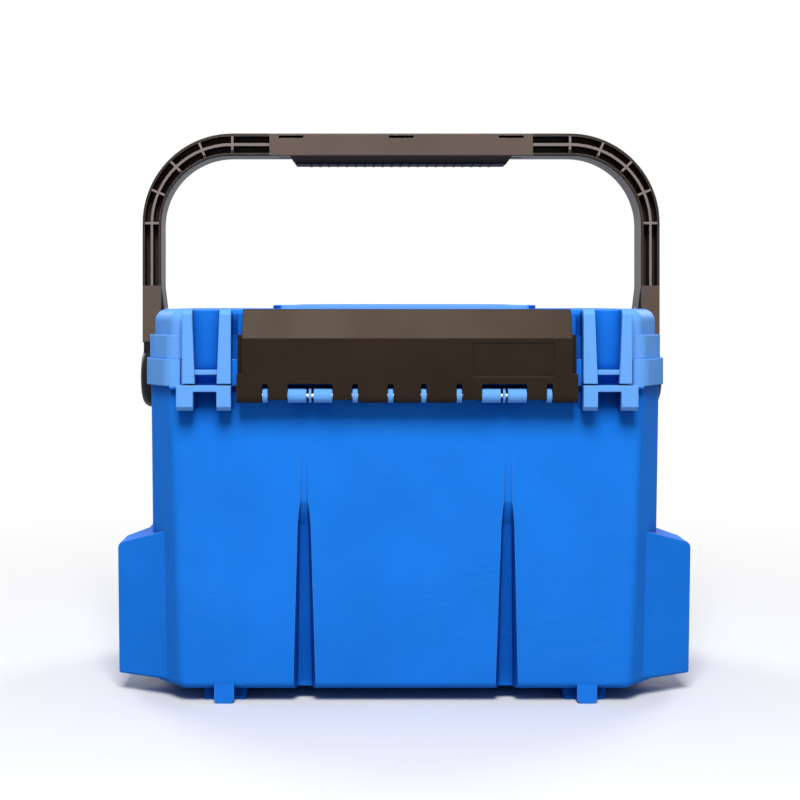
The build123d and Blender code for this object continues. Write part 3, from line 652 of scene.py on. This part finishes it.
@dataclass
class RibRow:
    """A row of low rounded ribs, laid by Geometry Nodes on a flat face."""

    name: str
    body: Body
    run: Run
    centre: Triple
    count: int
    pitch: float
    length: float
    width: float
    height: float
    steps: int = 17
    ring_points: int = 12
    end_power: float = 10.0
    end_share: float = 0.02

    def _tree(self) -> bpy.types.NodeTree:
        """Make the tree: one rib with drawn-in ends, set out in a straight row.

        Returns:
            The Geometry Nodes tree.
        """
        tree = bpy.data.node_groups.new(f"{self.name}_row", "GeometryNodeTree")
        for label, kind in (
            ("Count", "NodeSocketInt"),
            ("Pitch", "NodeSocketFloat"),
            ("Length", "NodeSocketFloat"),
            ("Width", "NodeSocketFloat"),
            ("Height", "NodeSocketFloat"),
            ("Centre", "NodeSocketVector"),
            ("Turn", "NodeSocketRotation"),
            ("Finish", "NodeSocketMaterial"),
        ):
            tree.interface.new_socket(label, in_out="INPUT", socket_type=kind)
        tree.interface.new_socket("Geometry", in_out="OUTPUT", socket_type="NodeSocketGeometry")
        sheet = Sheet(tree)
        given = sheet.add("NodeGroupInput").outputs

        half = sheet.math("MULTIPLY", given["Length"], 0.5)
        end = sheet.add("ShaderNodeCombineXYZ")
        sheet.feed(end.inputs["X"], half)
        start = sheet.add("ShaderNodeCombineXYZ")
        sheet.feed(start.inputs["X"], sheet.math("MULTIPLY", half, -1.0))
        line = sheet.add("GeometryNodeCurvePrimitiveLine")
        sheet.feed(line.inputs["Start"], start.outputs[0])
        sheet.feed(line.inputs["End"], end.outputs[0])
        steps = sheet.add("GeometryNodeResampleCurve")
        sheet.feed(steps.inputs["Curve"], line.outputs["Curve"])
        steps.inputs["Count"].default_value = self.steps
        along = sheet.add("GeometryNodeSplineParameter")
        from_middle = sheet.math("SUBTRACT", along.outputs["Factor"], 0.5)
        share = sheet.math("ABSOLUTE", sheet.math("MULTIPLY", from_middle, 2.0), 0.0)
        drawn_in = sheet.math("SUBTRACT", 1.0, sheet.math("POWER", share, self.end_power))
        rounded = sheet.math("POWER", sheet.math("MAXIMUM", drawn_in, 0.0), 0.5)
        swell = sheet.math("ADD", rounded, self.end_share)

        ring = sheet.add("GeometryNodeCurvePrimitiveCircle")
        ring.inputs["Resolution"].default_value = self.ring_points
        ring.inputs["Radius"].default_value = 1.0
        squash = sheet.add("GeometryNodeTransform")
        sheet.feed(squash.inputs["Geometry"], ring.outputs["Curve"])
        sizes = sheet.add("ShaderNodeCombineXYZ")
        sheet.feed(sizes.inputs["X"], sheet.math("MULTIPLY", given["Width"], 0.5))
        sheet.feed(sizes.inputs["Y"], given["Height"])
        sizes.inputs["Z"].default_value = 1.0
        sheet.feed(squash.inputs["Scale"], sizes.outputs[0])
        rib = sheet.add("GeometryNodeCurveToMesh")
        sheet.feed(rib.inputs["Curve"], steps.outputs["Curve"])
        sheet.feed(rib.inputs["Profile Curve"], squash.outputs["Geometry"])
        sheet.feed(rib.inputs["Scale"], swell)
        rib.inputs["Fill Caps"].default_value = True

        gaps = sheet.math("SUBTRACT", given["Count"], 1.0)
        back = sheet.math("MULTIPLY", sheet.math("MULTIPLY", gaps, given["Pitch"]), -0.5)
        first = sheet.add("ShaderNodeCombineXYZ")
        sheet.feed(first.inputs["Y"], back)
        step = sheet.add("ShaderNodeCombineXYZ")
        sheet.feed(step.inputs["Y"], given["Pitch"])
        row = sheet.add("GeometryNodeMeshLine", mode="OFFSET")
        sheet.feed(row.inputs["Count"], given["Count"])
        sheet.feed(row.inputs["Start Location"], first.outputs[0])
        sheet.feed(row.inputs["Offset"], step.outputs[0])
        ribs = sheet.add("GeometryNodeInstanceOnPoints")
        sheet.feed(ribs.inputs["Points"], row.outputs["Mesh"])
        sheet.feed(ribs.inputs["Instance"], rib.outputs["Mesh"])
        placed = sheet.add("GeometryNodeTransform")
        sheet.feed(placed.inputs["Geometry"], ribs.outputs["Instances"])
        sheet.feed(placed.inputs["Translation"], given["Centre"])
        sheet.feed(placed.inputs["Rotation"], given["Turn"])
        real = sheet.add("GeometryNodeRealizeInstances")
        sheet.feed(real.inputs["Geometry"], placed.outputs["Geometry"])
        smooth = sheet.add("GeometryNodeSetShadeSmooth")
        sheet.feed(smooth.inputs["Geometry"], real.outputs["Geometry"])
        finish = sheet.add("GeometryNodeSetMaterial")
        sheet.feed(finish.inputs["Geometry"], smooth.outputs["Geometry"])
        sheet.feed(finish.inputs["Material"], given["Finish"])
        sheet.feed(sheet.add("NodeGroupOutput").inputs["Geometry"], finish.outputs["Geometry"])
        return tree

    def build(self, finish: bpy.types.Material, slot: str) -> bpy.types.Object:
        """Lay the row and turn it into a plain mesh that rides on its body.

        Args:
            finish: the ribs' material.
            slot: the record's material slot; not used.

        Returns:
            The finished piece.
        """
        tree = self._tree()
        holder = bpy.data.objects.new(f"{self.name}_holder", bpy.data.meshes.new(f"{self.name}_holder"))
        bpy.context.scene.collection.objects.link(holder)
        modifier = holder.modifiers.new("row", "NODES")
        modifier.node_group = tree
        turn = RIGHT_ANGLE if self.run is Run.ALONG_Y else 0.0
        values = {
            "Count": self.count,
            "Pitch": self.pitch,
            "Length": self.length,
            "Width": self.width,
            "Height": self.height,
            "Centre": self.centre,
            "Turn": (0.0, 0.0, turn),
            "Finish": finish,
        }
        for socket in tree.interface.items_tree:
            if socket.in_out == "INPUT":
                modifier[socket.identifier] = values[socket.name]
        bpy.context.view_layer.update()
        graph = bpy.context.evaluated_depsgraph_get()
        mesh = bpy.data.meshes.new_from_object(holder.evaluated_get(graph))
        bpy.data.objects.remove(holder)
        mesh.name = self.name
        piece = bpy.data.objects.new(self.name, mesh)
        bpy.context.scene.collection.objects.link(piece)
        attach(piece, self.body.value)
        LOG.info("laid %s: %d ribs on %s", self.name, self.count, self.body.value)
        return piece


@dataclass
class Dressing:
    """Materials by finish, handed out to the CAD nodes and the added pieces."""

    effects: Effects = field(default_factory=Effects)
    made: dict[str, bpy.types.Material] = field(default_factory=dict)

    def material(self, finish: MouldedFinish | SteelFinish) -> bpy.types.Material:
        """Give the material of a finish, making it at its first use.

        Args:
            finish: the finish.

        Returns:
            Its material.
        """
        if finish.name not in self.made:
            self.made[finish.name] = finish.build(self.effects)
        return self.made[finish.name]

    def paint(self, nodes: tuple[str, ...], finish: MouldedFinish | SteelFinish) -> None:
        """Put a finish on CAD nodes.

        Args:
            nodes: names of the nodes.
            finish: the finish.
        """
        for name in nodes:
            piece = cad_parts[name]
            piece.data.materials.clear()
            piece.data.materials.append(self.material(finish))
            LOG.info("dressed %s in %s", name, finish.name)


@dataclass
class Shell:
    """The moulded tub and lid, with the tread on the lid's raised panel."""

    nodes: tuple[str, ...] = ("body_shell", "lid_shell")
    hinge_pins: tuple[str, ...] = ("lid_hinge_pin_left", "lid_hinge_pin_right")
    tread_count: int = 19
    tread_pitch: float = 10 * MM
    tread_length: float = 190 * MM
    tread_width: float = 3 * MM
    tread_height: float = 0.6 * MM

    def dress(self, dressing: Dressing) -> None:
        """Finish the shell's nodes and its hinge pins."""
        dressing.paint(self.nodes, BLUE_SHELL)
        dressing.paint(self.hinge_pins, GROUND_PIN)

    def build(self, dressing: Dressing) -> None:
        """Lay the tread of low ribs across the lid's panel.

        Args:
            dressing: the materials.
        """
        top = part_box("lid_shell")[1].z
        RibRow(
            name="lid_tread",
            body=Body.LID,
            run=Run.ALONG_X,
            centre=(0.0, 0.0, top),
            count=self.tread_count,
            pitch=self.tread_pitch,
            length=self.tread_length,
            width=self.tread_width,
            height=self.tread_height,
        ).build(dressing.material(BLUE_SHELL), BLUE_SHELL.slot)


@dataclass
class Latch:
    """The wide front latch plate and its pins."""

    plate: tuple[str, ...] = ("latch_plate",)
    pins: tuple[str, ...] = ("latch_pin_left", "latch_pin_right")

    def dress(self, dressing: Dressing) -> None:
        """Finish the plate and its pins."""
        dressing.paint(self.plate, BROWN_LATCH)
        dressing.paint(self.pins, GROUND_PIN)


@dataclass
class Handle:
    """The swing handle with its grip, hubs and fastenings."""

    arch: tuple[str, ...] = ("handle_arch",)
    grip: tuple[str, ...] = ("handle_grip",)
    pivot_plastics: tuple[str, ...] = ("handle_hub", "pivot_washer", "pivot_retainer")
    screws: tuple[str, ...] = ("pivot_screw", "hub_screw_lower", "hub_screw_upper")
    ridge_count: int = 21
    ridge_pitch: float = 8 * MM
    ridge_length: float = 25 * MM
    ridge_width: float = 3.2 * MM
    ridge_height: float = 0.7 * MM

    @staticmethod
    def _sides(names: tuple[str, ...]) -> tuple[str, ...]:
        """Give the left and right node of each name."""
        return tuple(f"{name}_{side}" for name in names for side in ("left", "right"))

    def dress(self, dressing: Dressing) -> None:
        """Finish the arch, the grip, the hubs and the screws.

        Args:
            dressing: the materials.
        """
        dressing.paint(self.arch, BROWN_HANDLE)
        dressing.paint(self.grip, BLACK_GRIP)
        dressing.paint(self._sides(self.pivot_plastics), BLACK_HUB)
        dressing.paint(self._sides(self.screws), PLATED_SCREW)

    def build(self, dressing: Dressing) -> None:
        """Lay the finger ridges under the grip.

        Args:
            dressing: the materials.
        """
        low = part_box("handle_grip")[0].z
        RibRow(
            name="grip_ridges",
            body=Body.HANDLE,
            run=Run.ALONG_Y,
            centre=(0.0, 0.0, low),
            count=self.ridge_count,
            pitch=self.ridge_pitch,
            length=self.ridge_length,
            width=self.ridge_width,
            height=self.ridge_height,
        ).build(dressing.material(BLACK_GRIP), BLACK_GRIP.slot)


@dataclass(frozen=True)
class Softbox:
    """A square area lamp aimed at a point."""

    name: str
    place: Triple
    aim: Triple
    size: float
    power: float

    def build(self) -> None:
        """Make the lamp."""
        data = bpy.data.lights.new(self.name, "AREA")
        data.shape = "SQUARE"
        data.size = self.size
        data.energy = self.power
        lamp = bpy.data.objects.new(self.name, data)
        lamp.location = self.place
        lamp.rotation_euler = (Vector(self.aim) - Vector(self.place)).to_track_quat("-Z", "Y").to_euler()
        bpy.context.scene.collection.objects.link(lamp)


@dataclass
class Studio:
    """Pale floor, plain light and the camera of the photograph."""

    camera_place: Triple = (-0.0435, -1.3675, 0.324)
    lens: float = 68.7
    sensor: float = 36.0
    shift: tuple[float, float] = (0.06, -0.12)
    ambient: float = 0.14
    floor_half: float = 6.0
    floor_tone: Colour = (0.85, 0.85, 0.86)
    bounce_tone: Colour = (0.4, 0.4, 0.4)
    fade_start: float = 0.35
    fade_end: float = 1.1
    lamps: tuple[Softbox, ...] = (
        Softbox("front", (-0.05, -1.6, 1.75), (0.0, -0.1, 0.2), 0.8, 50.0),
        Softbox("overhead", (0.0, 0.3, 2.2), (0.0, 0.0, 0.3), 1.2, 6.0),
        Softbox("rear_left", (-1.7, 2.0, 1.3), (0.0, 0.0, 0.2), 1.0, 30.0),
        Softbox("rear_right", (1.7, 2.0, 1.3), (0.0, 0.0, 0.2), 1.0, 30.0),
    )

    def build(self) -> None:
        """Make the camera, the floor, the world and the lamps."""
        scene = bpy.context.scene
        scene.view_settings.view_transform = "Standard"
        self._camera(scene)
        self._floor(scene)
        self._world(scene)
        for lamp in self.lamps:
            lamp.build()

    def _camera(self, scene: bpy.types.Scene) -> None:
        """Set a level camera at the photograph's place.

        Args:
            scene: the scene.
        """
        data = bpy.data.cameras.new("photo_camera")
        data.lens = self.lens
        data.sensor_width = self.sensor
        data.shift_x, data.shift_y = self.shift
        camera = bpy.data.objects.new("photo_camera", data)
        camera.location = self.camera_place
        camera.rotation_euler = (RIGHT_ANGLE, 0.0, 0.0)
        scene.collection.objects.link(camera)
        scene.camera = camera

    @staticmethod
    def _seen(sheet: Sheet) -> Socket:
        """Give 1 for rays of the camera, of gloss and through glass, else 0.

        Args:
            sheet: the material's or the world's sheet.

        Returns:
            The socket with that value.
        """
        ray = sheet.add("ShaderNodeLightPath").outputs
        gloss = sheet.math("MAXIMUM", ray["Is Glossy Ray"], ray["Is Transmission Ray"])
        return sheet.math("MAXIMUM", ray["Is Camera Ray"], gloss)

    def _floor(self, scene: bpy.types.Scene) -> None:
        """Lay a pale floor that keeps the shadow near the box and fades to white away from it.

        Args:
            scene: the scene.
        """
        half = self.floor_half
        mesh = bpy.data.meshes.new("floor")
        corners = [(-half, -half, 0), (half, -half, 0), (half, half, 0), (-half, half, 0)]
        mesh.from_pydata(corners, [], [(0, 1, 2, 3)])
        floor = bpy.data.objects.new("floor", mesh)
        scene.collection.objects.link(floor)
        material = bpy.data.materials.new("pale_floor")
        material.use_nodes = True
        sheet = Sheet(material.node_tree)
        material.node_tree.nodes.remove(material.node_tree.nodes["Principled BSDF"])
        place = sheet.add("ShaderNodeTexCoord").outputs["Object"]
        reach = sheet.add("ShaderNodeVectorMath", operation="LENGTH")
        sheet.feed(reach.inputs[0], place)
        fade = sheet.spread(reach.outputs["Value"], self.fade_start, self.fade_end, 0.0, 1.0)
        matte = sheet.add("ShaderNodeBsdfDiffuse")
        seen = self._seen(sheet)
        sheet.feed(matte.inputs["Color"], sheet.mix(seen, rgba(self.bounce_tone), rgba(self.floor_tone)))
        glow = sheet.add("ShaderNodeEmission")
        blend = sheet.add("ShaderNodeMixShader")
        sheet.feed(blend.inputs[0], sheet.math("MULTIPLY", fade, seen))
        sheet.feed(blend.inputs[1], matte.outputs[0])
        sheet.feed(blend.inputs[2], glow.outputs[0])
        sheet.feed(material.node_tree.nodes["Material Output"].inputs["Surface"], blend.outputs[0])
        mesh.materials.append(material)

    def _world(self, scene: bpy.types.Scene) -> None:
        """Make a plain world that lights softly and is seen as white.

        Args:
            scene: the scene.
        """
        world = bpy.data.worlds.new("studio")
        world.use_nodes = True
        sheet = Sheet(world.node_tree)
        sky = world.node_tree.nodes["Background"]
        sky.inputs["Color"].default_value = rgba(WHITE)
        sheet.feed(sky.inputs["Strength"], sheet.spread(self._seen(sheet), 0.0, 1.0, self.ambient, 1.0))
        scene.world = world


def main() -> None:
    """Build every sub-assembly in order, dress it and light it."""
    logging.basicConfig(level=logging.INFO, format="%(name)s: %(message)s")
    dressing = Dressing()
    shell = Shell()
    shell.dress(dressing)
    shell.build(dressing)
    Latch().dress(dressing)
    handle = Handle()
    handle.dress(dressing)
    handle.build(dressing)
    Studio().build()


if __name__ == "__main__":
    main()
